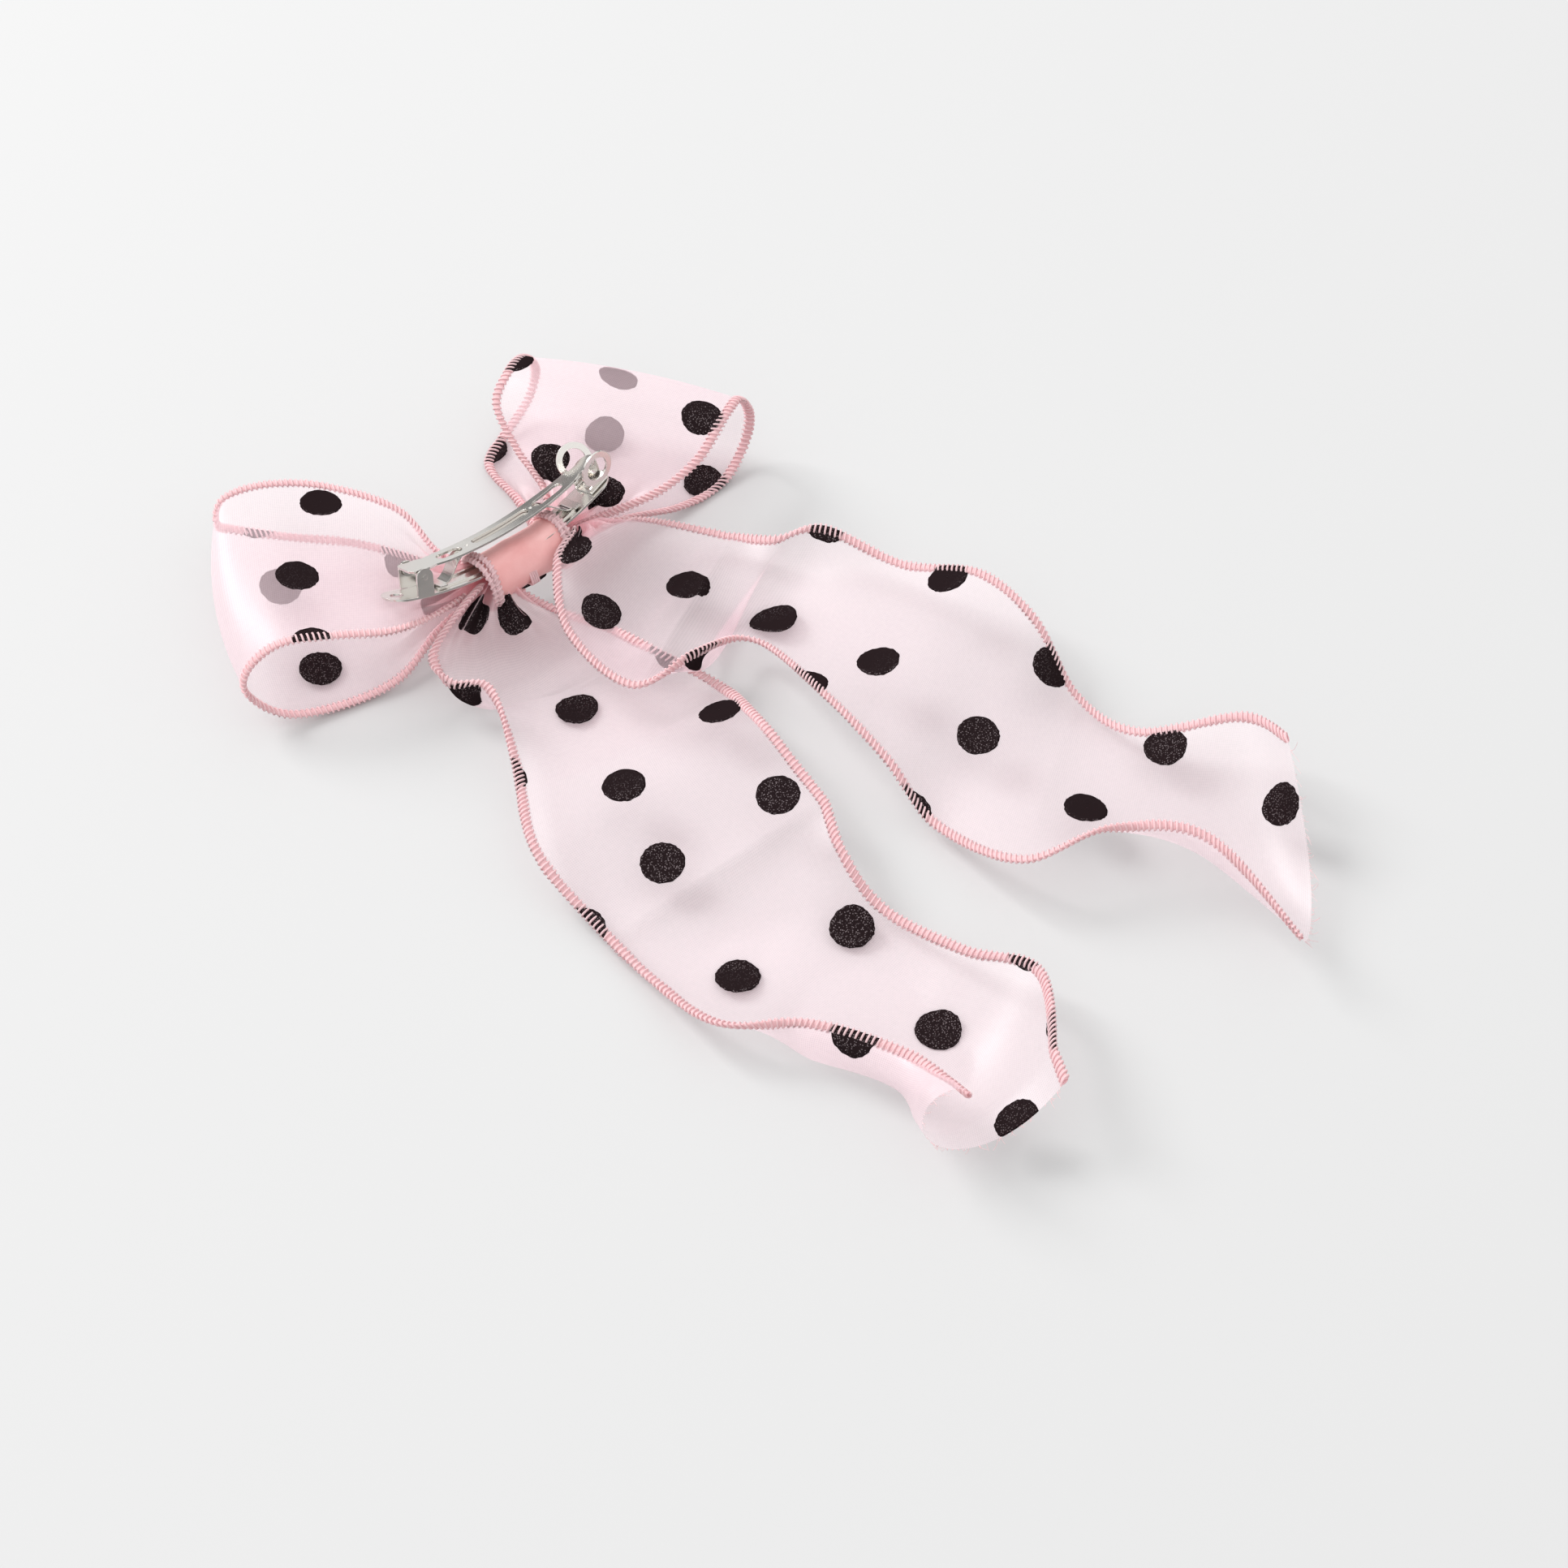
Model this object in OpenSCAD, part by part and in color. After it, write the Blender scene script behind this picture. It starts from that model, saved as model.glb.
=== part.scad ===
// Hair bow on a spring barrette, lying face down with the clip on top.
// Millimetres, +Z up, +X along the clip, the tails run towards -Y.

/* [Clip] */
// Overall length of the base plate
clip_len = 58; // [56:0.5:60]
// Width of the base plate
clip_w = 8.4; // [8:0.1:9]
// Thickness of the stamped sheet
sheet_t = 0.5; // [0.4:0.05:0.6]
// Radius of the base plate's long arch
arch_r = 78; // [74:1:84]
// Height of the hinge pin above the base plate's underside
pivot_h = 4.4; // [4.2:0.1:4.6]
// Radius of the hole in the hinge end's tongue
tongue_hole_r = 1.4; // [1.2:0.1:1.5]
// Roll of the clip about its length, near side up, in degrees
clip_roll = 26; // [22:1:30]

/* [Ribbon] */
// Thickness of the ribbon solids
ribbon_t = 0.8; // [0.6:0.1:1]
// Radius of the overlocked edge
edge_r = 0.8; // [0.6:0.1:0.9]
// Thickness of the folded centre wrap
wrap_t = 0.8; // [0.6:0.1:0.9]
// Length of the centre wrap along the clip
wrap_len = 20; // [18:1:21]

/* [Placing] */
// X of the knot's centre
knot_x = -11.26; // [-20:0.1:0]
// Y of the knot's centre
knot_y = 60.35; // [50:0.1:70]

/* [Hidden] */

nickel = [0.82, 0.81, 0.79];
organza = [0.98, 0.88, 0.90];
rose = [0.90, 0.68, 0.70];
thread = [0.96, 0.72, 0.74];

arc_fn = 360;
round_fn = 48;
tiny = 0.01;

// The clip's own frame: origin under the middle of the base plate, Z out of the plate.
clip_at = [-3, 1.5, 14];
half_len = clip_len / 2;
rib_w = 0.8;
rib_y = 2.2;
rib_len = 36;
rib_h = 0.35;
tongue_angle = -19.6;

// Hinge end
hinge_angle = -16;
ear_len = 3.8;
pin_r = 0.54;
pin_gap = 0.06;
arm_w = 6.9;

// Clasp arm
arm_r = 95;
arm_z = 6.2;
arm_tip_x = 25;
arm_tip_r = 2.4;
arm_hook_w = 3.6;
arm_hook_h = 2.4;
slot_w = 3.2;

// Tension spring
spring_t = 0.35;
spring_w = 4.2;
spring_foot_w = 6.4;
spring_gap = 0.12;
spring_x0 = -17.4;
spring_x1 = 19.4;
spring_ramp = 6.5;
spring_foot = 1.6;

// Catch
catch_angle = 19;
catch_floor_t = 0.45;
catch_len = 5.2;
catch_half_w = 2.5;
wing_y = 3.05;
wing_root_r = 0.35;
wing_root_z = 0.95;
wing_lean = 20;
wing_t = 0.45;
wing_foot = 4.6;
ring_at = [1.5, 4.35];
ring_r = 4.1;
ring_hole_r = 2.7;
lip_at = [0.2, 1.1];
lip_len = 1.7;
rivet_r = 1.2;
rivet_head_r = 1.9;
rivet_head_h = 0.4;
rivet_gap = 0.1;
catch_floor_z = sheet_t + 0.1;

// Knot
wrap_x = 3;
wrap_half_w = 5.2;
wrap_bottom = -8;
wrap_top = 3.3;
wrap_corner = 1.8;
hem_len = 1;
hem_out = 0.5;
neck_inset = wrap_t + 0.05;
neck_top = -0.15;
neck_half_gap = 0.05;
neck_out = hem_len + 0.8;
thread_turns = 4;
thread_pitch = 0.5;
thread_t = 0.5;
thread_gap = 0.04;
thread_span = thread_turns * thread_pitch;
smooth = 3;

// ---------------------------------------------------------------- frames and paths

// A point given in the clip's frame, in the knot's frame
function clip_pt(x, y, z) = [
    clip_at[0] + x,
    clip_at[1] + y * cos(clip_roll) + z * sin(clip_roll),
    clip_at[2] - y * sin(clip_roll) + z * cos(clip_roll)];

module in_knot() {
    translate([knot_x, knot_y, 0]) children();
}

module in_clip() {
    in_knot() translate(clip_at) rotate([-clip_roll, 0, 0]) children();
}

// Stands children on the base plate's arch, at an angle from its middle
module on_arch(angle) {
    translate([0, 0, arch_r]) rotate([0, -angle, 0]) translate([0, 0, -arch_r]) children();
}

function spline(a, b, c, d, t) =
    0.5 * (2 * b + (c - a) * t + (2 * a - 5 * b + 4 * c - d) * t * t + (3 * b - a - 3 * c + d) * t * t * t);

// A smooth path through the points, never lower than an edge lying on the floor
function path(p) = [
    for (i = [0 : len(p) - 2], j = [0 : smooth - 1])
        lift(spline(p[max(i - 1, 0)], p[i], p[i + 1], p[min(i + 2, len(p) - 1)], j / smooth)),
    lift(p[len(p) - 1])];
function lift(p) = [p[0], p[1], max(p[2], edge_r)];

function unit(v) = v / norm(v);
function along(p, i) = unit(p[min(i + 1, len(p) - 1)] - p[max(i - 1, 0)]);
function side(a, b, i) = unit(cross(along(a, i) + along(b, i), b[i] - a[i]));

// A ribbon lofted between its two long edges, with half a thickness on each side.
// Its solid starts neck_t thick in the knot, and thins to the ribbon by the next given point.
module ribbon(near, far, neck_t, both_ends) {
    a = path(near);
    b = path(far);
    n = len(a);
    half = [for (i = [0 : n - 1])
        let (from_end = both_ends ? min(i, n - 1 - i) : i)
        max(ribbon_t, neck_t * (1 - from_end / smooth)) / 2];
    points = [for (i = [0 : n - 1])
        let (up = side(a, b, i) * half[i])
        each [a[i] + up, b[i] + up, b[i] - up, a[i] - up]];
    sides = [for (i = [0 : n - 2], k = [0 : 3])
        let (p = 4 * i + k, q = 4 * i + (k + 1) % 4)
        each [[p, q, q + 4], [p, q + 4, p + 4]]];
    ends = [[2, 1, 0], [3, 2, 0], [4 * n - 4, 4 * n - 3, 4 * n - 2], [4 * n - 4, 4 * n - 2, 4 * n - 1]];
    polyhedron(points, concat(sides, ends));
}

// A thread rolled over one long edge, from one given point to another
module edging(edge, first, last) {
    p = path([for (i = [first : last]) edge[i]]);
    n = len(p);
    rings = [for (i = [0 : n - 1])
        let (
            t = along(p, i),
            u = unit(cross(t, [0, 0, 1])),
            v = cross(t, u))
        for (k = [0 : 5]) p[i] + edge_r * (cos(60 * k + 30) * u + sin(60 * k + 30) * v)];
    walls = [for (i = [0 : n - 2], k = [0 : 5])
        let (a = 6 * i + k, b = 6 * i + (k + 1) % 6)
        each [[a, b + 6, b], [a, a + 6, b + 6]]];
    caps = [[for (k = [0 : 5]) k], [for (k = [5 : -1 : 0]) 6 * (n - 1) + k]];
    polyhedron(rings, concat(walls, caps));
}

// ---------------------------------------------------------------- ribbon edges, knot frame

neck_left = wrap_x - wrap_len / 2 - neck_out;
neck_right = wrap_x + wrap_len / 2 + neck_out;
neck_upper = -1.9;
neck_lower = -5.2;
neck_mid = -3.5;
left_end = neck_left + 0.1;
right_end = neck_right - 0.1;

left_loop_near = [
    clip_pt(left_end, 0.3, neck_upper), [-22, 0, 11.5], [-34, -2, 15], [-46, 0, 21.5], [-57, 3, 24.5],
    [-64, 6, 19], [-65, 7, 10], [-59, 4, 2], [-47, -1, 0.8], [-34, -3, 1.5], [-22, 0, 5],
    clip_pt(left_end, 0.3, neck_lower)];
left_loop_far = [
    clip_pt(left_end, 4.1, neck_upper), [-15, 13, 12], [-13, 27, 15.5], [-23, 39, 20.5], [-34, 44, 24],
    [-43, 47, 23], [-45, 48, 16], [-41, 50, 10], [-31, 44, 6], [-20, 34, 4], [-16, 18, 5],
    clip_pt(left_end, 4.1, neck_lower)];
right_loop_near = [
    clip_pt(right_end, 0.3, neck_upper), [24, -0.5, 11], [35, -4, 13.5], [45, -5, 17.5], [54, -2, 21],
    [62, 2, 20], [66, 3, 12], [63, 2, 4], [54, -1, 0.8], [42, -1, 1.5], [27, 2, 5],
    clip_pt(right_end, 0.3, neck_lower)];
right_loop_far = [
    clip_pt(right_end, 4.1, neck_upper), [16, 13, 12.5], [17, 25, 15.5], [20, 36, 19], [26, 40, 22],
    [33, 44, 20], [38, 47, 12], [35, 46, 5], [26, 43, 1.5], [17, 37, 1.2], [14, 21, 4],
    clip_pt(right_end, 4.1, neck_lower)];
left_tail_near = [
    clip_pt(left_end, -4.1, neck_mid), [-20, -8, 13], [-33, -15, 10], [-26, -25, 6], [-28, -38, 2.5],
    [-39, -56, 1], [-42, -78, 1], [-42, -98, 1.5], [-40, -116, 6], [-30, -131, 14], [-20, -148, 13],
    [-17, -163, 8]];
left_tail_far = [
    clip_pt(left_end, -0.3, neck_mid), [-13, -9, 7], [-3, -17, 5], [9, -29, 4], [14, -49, 5],
    [15, -64, 7], [11, -84, 10], [3, -102, 11], [4, -114, 3], [10, -131, 2], [14, -148, 9],
    [2, -168, 2]];
right_tail_near = [
    clip_pt(right_end, -4.1, neck_mid), [14, -6, 15.5], [3, -10, 17], [-6, -24, 14.5], [-2, -40, 10.5],
    [11, -45, 14], [23, -50, 13.5], [29, -66, 6], [29, -85, 2], [26, -104, 1], [34, -121, 1],
    [46, -133, 13], [58, -148, 15], [63, -171, 1.5]];
right_tail_far = [
    clip_pt(right_end, -0.3, neck_mid), [19, -4, 14.5], [26, -7, 13.5], [34, -10, 9], [43, -17, 6],
    [50, -25, 6], [57, -33, 11], [66, -48, 5.5], [76, -62, 8], [78, -78, 6.5], [72, -97, 1.5],
    [74, -113, 3], [84, -130, 14], [88, -141, 15]];

// ---------------------------------------------------------------- barrette

// A plate bent to a long arch: the plan outline cut from a cylinder's wall
module arched(r, z, t) {
    intersection() {
        translate([0, 0, r + z]) rotate([90, 0, 0]) difference() {
            cylinder(r = r, h = 14, center = true, $fn = arc_fn);
            cylinder(r = r - t, h = 15, center = true, $fn = arc_fn);
        }
        translate([0, 0, z - 1]) linear_extrude(12) children();
    }
}

module slot(x0, x1, w) {
    r = w / 2;
    translate([x0 + r, -r]) square([x1 - x0 - w, w]);
    for (x = [x0 + r, x1 - r]) translate([x, 0]) circle(r = r, $fn = round_fn);
}

module ear(y) {
    translate([0, y, 0]) rotate([90, 0, 0]) difference() {
        union() {
            translate([-ear_len / 2, 0.1, 0]) cube([ear_len, pivot_h - 0.1, sheet_t]);
            translate([0, pivot_h, 0]) cylinder(r = ear_len / 2, h = sheet_t, $fn = round_fn);
        }
        translate([0, pivot_h, -1]) cylinder(r = pin_r + pin_gap, h = 3, $fn = round_fn);
    }
}

module base_plate() {
    color(nickel) in_clip() {
        difference() {
            arched(arch_r, 0, sheet_t) slot(-half_len, half_len, clip_w);
            on_arch(tongue_angle) cylinder(r = tongue_hole_r, h = 3, center = true, $fn = round_fn);
            on_arch(catch_angle) cylinder(r = rivet_r, h = 3, center = true, $fn = round_fn);
        }
        arched(arch_r - sheet_t + tiny, sheet_t - tiny, rib_h)
            for (y = [-rib_y, rib_y]) translate([-rib_len / 2, y - rib_w / 2]) square([rib_len, rib_w]);
        on_arch(hinge_angle) {
            ear(clip_w / 2);
            ear(-clip_w / 2 + sheet_t);
        }
    }
}

module arm_outline() {
    difference() {
        union() {
            polygon([
                [-22.6, -2.4], [-21.8, -arm_w / 2], [-18.2, -arm_w / 2], [-16.2, -2.9], [-13, -3.4], [12, -3.4],
                [20, -2.8], [22.2, -1.9], [arm_tip_x, -1.9], [arm_tip_x, 1.9], [22.2, 1.9], [20, 2.8], [12, 3.4],
                [-13, 3.4], [-16.2, 2.9], [-18.2, arm_w / 2], [-21.8, arm_w / 2], [-22.6, 2.4]]);
            translate([arm_tip_x, 0]) circle(r = arm_tip_r, $fn = round_fn);
        }
        slot(-14.6, -8.6, slot_w);
        slot(-5.8, 8.8, slot_w);
        slot(10.2, 18.2, slot_w);
    }
}

module arm_cheek(y) {
    translate([0, y, 0]) rotate([90, 0, 0]) {
        translate([0, pivot_h, 0]) cylinder(r = 1.3, h = sheet_t, $fn = round_fn);
        translate([-1.3, pivot_h, 0]) cube([2.6, 1.25, sheet_t]);
    }
}

module clasp_arm() {
    color(nickel) in_clip() {
        difference() {
            arched(arm_r, arm_z, sheet_t) arm_outline();
            for (x = [-7.2, 9.5])
                translate([x, 0, arm_z + sheet_t + x * x / 2 / arm_r + 0.1]) sphere(r = 0.4, $fn = 24);
        }
        translate([arm_tip_x + arm_tip_r - sheet_t - 0.3, -arm_hook_w / 2, arm_under(arm_tip_x) - arm_hook_h])
            cube([sheet_t, arm_hook_w, arm_hook_h + sheet_t]);
        on_arch(hinge_angle) {
            arm_cheek(arm_w / 2 - 0.05);
            arm_cheek(-arm_w / 2 + 0.05 + sheet_t);
            for (y = [-1, 1])
                translate([0, y * (arm_w / 2 - 0.3), pivot_h]) rotate([-90 * y, 0, 0])
                    cylinder(r = pin_r, h = clip_w / 2 - arm_w / 2 + 0.4, $fn = round_fn);
        }
    }
}

// Heights in the clip's frame: on the base plate, and under the arm
function base_top(x) = arch_r - sqrt(arch_r * arch_r - x * x) + sheet_t;
function arm_under(x) = arm_z + arm_r - sqrt(arm_r * arm_r - x * x);
function ease(t) = let (c = min(max(t, 0), 1)) c * c * (3 - 2 * c);
function spring_under(x) =
    let (rise = ease(min(x - spring_x0 - spring_foot, spring_x1 - spring_foot - x) / spring_ramp))
    (base_top(x) + rib_h + 0.05) * (1 - rise) + (arm_under(x) - spring_gap - spring_t) * rise;

module tension_spring() {
    xs = [for (x = [spring_x0 : 0.4 : spring_x1 + tiny]) x];
    under = [for (x = xs) [x, spring_under(x)]];
    over = [for (i = [len(xs) - 1 : -1 : 0]) [xs[i], spring_under(xs[i]) + spring_t]];
    color(nickel) in_clip() intersection() {
        translate([0, spring_foot_w / 2, 0]) rotate([90, 0, 0])
            linear_extrude(spring_foot_w) polygon(concat(under, over));
        linear_extrude(16) {
            translate([spring_x0, -spring_w / 2]) square([spring_x1 - spring_x0, spring_w]);
            for (x = [spring_x0, spring_x1 - spring_foot])
                translate([x, -spring_foot_w / 2]) square([spring_foot, spring_foot_w]);
        }
    }
}

module catch_bracket() {
    color(nickel) in_clip() on_arch(catch_angle) difference() {
        translate([-catch_len / 2, -catch_half_w, catch_floor_z]) cube([catch_len, catch_half_w * 2, catch_floor_t]);
        cylinder(r = rivet_r, h = 3, $fn = round_fn);
    }
}

module catch_rivet() {
    low = -rivet_head_h - rivet_gap;
    high = catch_floor_z + catch_floor_t + 0.02;
    color(nickel) in_clip() on_arch(catch_angle) {
        translate([0, 0, low]) cylinder(r = rivet_head_r, h = rivet_head_h, $fn = round_fn);
        translate([0, 0, low + 0.1]) cylinder(r = rivet_r - rivet_gap, h = high - low, $fn = round_fn);
        translate([0, 0, high]) cylinder(r = rivet_head_r, h = rivet_head_h, $fn = round_fn);
    }
}

// One finger wing, drawn on the +Y side: a root roll and a leaning ring with a latch lip inside
module wing() {
    translate([0, wing_y, wing_root_z]) {
        translate([-catch_len / 2, 0, 0]) rotate([0, 90, 0])
            cylinder(r = wing_root_r, h = catch_len, $fn = round_fn);
        rotate([90 - wing_lean, 0, 0]) translate([0, 0, -wing_t / 2]) {
            linear_extrude(wing_t) difference() {
                union() {
                    translate([-wing_foot / 2, 0]) square([wing_foot, 1.3]);
                    translate(ring_at) circle(r = ring_r, $fn = round_fn);
                }
                translate(ring_at) circle(r = ring_hole_r, $fn = round_fn);
            }
            translate([lip_at[0], lip_at[1], wing_t / 2]) cube([2.4, 0.4, lip_len]);
        }
    }
}

module catch_wing_far() {
    color(nickel) in_clip() on_arch(catch_angle) wing();
}

module catch_wing_near() {
    color(nickel) in_clip() on_arch(catch_angle) mirror([0, 1, 0]) wing();
}

// ---------------------------------------------------------------- knot

// The wrap's rounded cross-section, shrunk by an inset and cut off above a height
module wrap_section(inset, top = wrap_top) {
    r = wrap_corner - inset;
    w = wrap_half_w - inset - r;
    z0 = wrap_bottom + inset + r;
    z1 = wrap_top - inset - r;
    intersection() {
        union() {
            translate([z0, -w - r]) square([z1 - z0, 2 * (w + r)]);
            translate([z0 - r, -w]) square([z1 - z0 + 2 * r, 2 * w]);
            for (z = [z0, z1], y = [-w, w]) translate([z, y]) circle(r = r, $fn = round_fn);
        }
        translate([wrap_bottom - 5, -20]) square([top - wrap_bottom + 5, 40]);
    }
}

// Extrudes a section, drawn as height and width, along the clip
module along_clip(x, length) {
    in_clip() translate([x + length, 0, 0]) rotate([0, -90, 0]) linear_extrude(length) children();
}

// The fabric gathered inside the wrap, and the thread wound round it
module gathered(x, length) {
    difference() {
        along_clip(x, length) wrap_section(neck_inset, neck_top);
        along_clip(wrap_x - thread_span / 2, thread_span) difference() {
            wrap_section(neck_inset - 1);
            wrap_section(neck_inset + thread_t, neck_top - thread_t);
        }
    }
}

module gathering_thread() {
    color(thread) for (k = [0 : thread_turns - 1])
        along_clip(wrap_x + (k - thread_turns / 2) * thread_pitch + thread_gap, thread_pitch - 2 * thread_gap)
            difference() {
                wrap_section(neck_inset, neck_top);
                wrap_section(neck_inset + thread_t - thread_gap, neck_top - thread_t + thread_gap);
            }
}

// A quarter of the gathered fabric: to one side of the knot's middle, and above or below the clip's line
module neck(x0, x1, far_side) {
    intersection() {
        gathered(x0, x1 - x0);
        in_clip() translate([x0 - 1, far_side ? neck_half_gap : -neck_half_gap - 10, wrap_bottom - 2])
            cube([x1 - x0 + 2, 10, 20]);
    }
}

module wrap_band(x, length, grow) {
    along_clip(x, length) difference() {
        wrap_section(-grow);
        wrap_section(wrap_t);
    }
}

module centre_wrap() {
    color(rose) wrap_band(wrap_x - wrap_len / 2, wrap_len, 0);
}

module wrap_left_edging() {
    color(thread) wrap_band(wrap_x - wrap_len / 2 - hem_len, hem_len, hem_out);
}

module wrap_right_edging() {
    color(thread) wrap_band(wrap_x + wrap_len / 2, hem_len, hem_out);
}

// ---------------------------------------------------------------- loops and tails

module left_loop() {
    color(organza) {
        in_knot() ribbon(left_loop_near, left_loop_far, 2.4, true);
        neck(neck_left, wrap_x, true);
    }
}

module right_loop() {
    color(organza) {
        in_knot() ribbon(right_loop_near, right_loop_far, 2.4, true);
        neck(wrap_x, neck_right, true);
    }
}

module left_tail() {
    color(organza) {
        in_knot() ribbon(left_tail_near, left_tail_far, 5, false);
        neck(neck_left, wrap_x, false);
    }
}

module right_tail() {
    color(organza) {
        in_knot() ribbon(right_tail_near, right_tail_far, 5, false);
        neck(wrap_x, neck_right, false);
    }
}

// Each long edge's thread, from just outside the knot
module loop_edging(edge) {
    color(thread) in_knot() edging(edge, 1, len(edge) - 2);
}

module tail_edging(edge) {
    color(thread) in_knot() edging(edge, 1, len(edge) - 1);
}

module left_loop_near_edging() { loop_edging(left_loop_near); }
module left_loop_far_edging() { loop_edging(left_loop_far); }
module right_loop_near_edging() { loop_edging(right_loop_near); }
module right_loop_far_edging() { loop_edging(right_loop_far); }
module left_tail_near_edging() { tail_edging(left_tail_near); }
module left_tail_far_edging() { tail_edging(left_tail_far); }
module right_tail_near_edging() { tail_edging(right_tail_near); }
module right_tail_far_edging() { tail_edging(right_tail_far); }

base_plate();
clasp_arm();
tension_spring();
catch_bracket();
catch_wing_near();
catch_wing_far();
catch_rivet();
left_loop();
right_loop();
left_tail();
right_tail();
centre_wrap();
gathering_thread();
left_loop_near_edging();
left_loop_far_edging();
right_loop_near_edging();
right_loop_far_edging();
left_tail_near_edging();
left_tail_far_edging();
right_tail_near_edging();
right_tail_far_edging();
wrap_left_edging();
wrap_right_edging();
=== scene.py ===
"""Looks of the hair bow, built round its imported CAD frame.

Sheer dotted organza loops and tails with overlocked edges, a folded centre wrap, and a nickel barrette.
Ribbon edges are given in millimetres from the floor point under the knot, in the part's own axes.
"""
import math
import random

import bpy
import numpy as np
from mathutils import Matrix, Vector


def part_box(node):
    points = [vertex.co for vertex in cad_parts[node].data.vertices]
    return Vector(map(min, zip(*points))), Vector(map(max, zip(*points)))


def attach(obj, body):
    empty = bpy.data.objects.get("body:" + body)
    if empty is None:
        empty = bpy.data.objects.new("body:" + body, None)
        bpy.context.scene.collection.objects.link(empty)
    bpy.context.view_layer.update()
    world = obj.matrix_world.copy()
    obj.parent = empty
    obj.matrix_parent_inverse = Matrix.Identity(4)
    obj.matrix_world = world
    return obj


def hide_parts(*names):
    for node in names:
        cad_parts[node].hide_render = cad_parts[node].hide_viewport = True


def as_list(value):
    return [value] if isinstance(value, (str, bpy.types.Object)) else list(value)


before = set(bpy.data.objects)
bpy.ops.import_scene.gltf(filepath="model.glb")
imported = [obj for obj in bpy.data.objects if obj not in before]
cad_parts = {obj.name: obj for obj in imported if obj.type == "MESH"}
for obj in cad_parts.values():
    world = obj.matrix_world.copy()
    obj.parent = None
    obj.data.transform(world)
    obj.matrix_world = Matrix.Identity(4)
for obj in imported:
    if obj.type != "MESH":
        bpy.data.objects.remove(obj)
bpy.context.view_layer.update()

MM = 0.001
TURN = 2 * math.pi

# The ribbon, mm
RIBBON_W = 52.0         # flat width between the two overlocked edges
WEAVE = 0.42            # spacing of the organza's threads
DOT_R = 4.5             # radius of a dot
PILE = 0.3              # height of a dot's flocked pile
STITCH = 1.15           # length of edge under one turn of the overlocking thread
HEM_MIDDLE = 0.55       # from a ribbon's edge in to the middle of its rolled hem
FLOOR_GAP = 0.25        # least height of cloth and stitches above the floor

# The wrap, mm
WRAP_HALF_W = 4.9       # half its width across the clip
WRAP_HALF_H = 5.5       # half its height through the clip
WRAP_ROUND = 43.0       # flat length of the cloth that goes round the knot
CLIP_ROLL = math.radians(26)    # roll of the clip and the wrap about their length, in radians

# The meshes
STEPS = 16              # rows between two given points of a ribbon's edge
COLUMNS = 48            # columns across a ribbon
PLEATS = 5              # pleats across a ribbon where the knot gathers it
DOT_SIDES = 48          # corners of a ribbon dot's rim
FRAYS = 70              # loose threads along a tail's raw end

wrap_low, wrap_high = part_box("centre_wrap")
WRAP_MID = np.array([(wrap_low[k] + wrap_high[k]) / 2 for k in range(3)])
WRAP_LENGTH = (wrap_high.x - wrap_low.x) / MM
KNOT = np.array([WRAP_MID[0], WRAP_MID[1] - 0.5 * MM, 0.0])


# ---------------------------------------------------------------- curves and meshes

def smooth_path(points):
    """A Catmull-Rom path through the points, which may be numbers or vectors."""
    p = np.array(points, float)
    rows = []
    for i in range(len(p) - 1):
        a, b, c, d = p[max(i - 1, 0)], p[i], p[i + 1], p[min(i + 2, len(p) - 1)]
        for j in range(STEPS):
            t = j / STEPS
            rows.append(0.5 * (2 * b + (c - a) * t + (2 * a - 5 * b + 4 * c - d) * t ** 2
                               + (3 * b - a - 3 * c + d) * t ** 3))
    rows.append(p[-1])
    return np.array(rows)


def unit(v):
    """Vectors brought to a length of 1, along the last axis."""
    return v / np.maximum(np.linalg.norm(v, axis=-1, keepdims=True), 1e-9)


def lengths(path):
    """Distance along a path at each of its points."""
    return np.concatenate([[0], np.cumsum(np.linalg.norm(np.diff(path, axis=0), axis=1))])


def circle(count):
    """Angles of evenly spaced points round a circle."""
    return np.arange(count) * TURN / count


def as_uv(values):
    """One value for each point, in the form of a UV map that holds it twice."""
    return np.stack([values, values], -1).reshape(-1, 2)


def mesh_object(name, points, faces, material, uv_maps=None):
    """A smooth-shaded mesh in the scene, with any UV maps given point by point."""
    mesh = bpy.data.meshes.new(name)
    mesh.from_pydata([tuple(p) for p in points], [], [tuple(int(i) for i in f) for f in faces])
    corner = np.zeros(len(mesh.loops), int)
    mesh.loops.foreach_get("vertex_index", corner)
    for title, uv in (uv_maps or {}).items():
        layer = mesh.uv_layers.new(name=title)
        layer.data.foreach_set("uv", np.asarray(uv, float)[corner].ravel())
    mesh.materials.append(material)
    mesh.polygons.foreach_set("use_smooth", [True] * len(mesh.polygons))
    mesh.update()
    made = bpy.data.objects.new(name, mesh)
    bpy.context.scene.collection.objects.link(made)
    return made


def grid_faces(rows, columns, wrap=False):
    """The quads of a grid of points, which can close on itself round its columns."""
    faces = []
    for i in range(rows - 1):
        for k in range(columns if wrap else columns - 1):
            a, b = i * columns + k, i * columns + (k + 1) % columns
            faces.append((a, b, b + columns, a + columns))
    return faces


def tube(path, radius, around=6):
    """Rings of points round a path, and the faces between them."""
    skew = [0.31, 0.17, 0.93]       # a way that no path here follows
    along = unit(np.gradient(path, axis=0))
    u = unit(np.cross(along, skew))
    v = np.cross(along, u)
    turn = circle(around)
    ring = np.cos(turn)[None, :, None] * u[:, None] + np.sin(turn)[None, :, None] * v[:, None]
    points = (path[:, None] + ring * radius).reshape(-1, 3)
    return points, grid_faces(len(path), around, wrap=True)


def join(points, faces, more_points, more_faces):
    """Adds one piece's points and faces to the lists of a larger mesh."""
    first = len(points)
    faces += [tuple(first + n for n in f) for f in more_faces]
    points += list(more_points)


# ---------------------------------------------------------------- ribbons

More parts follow.
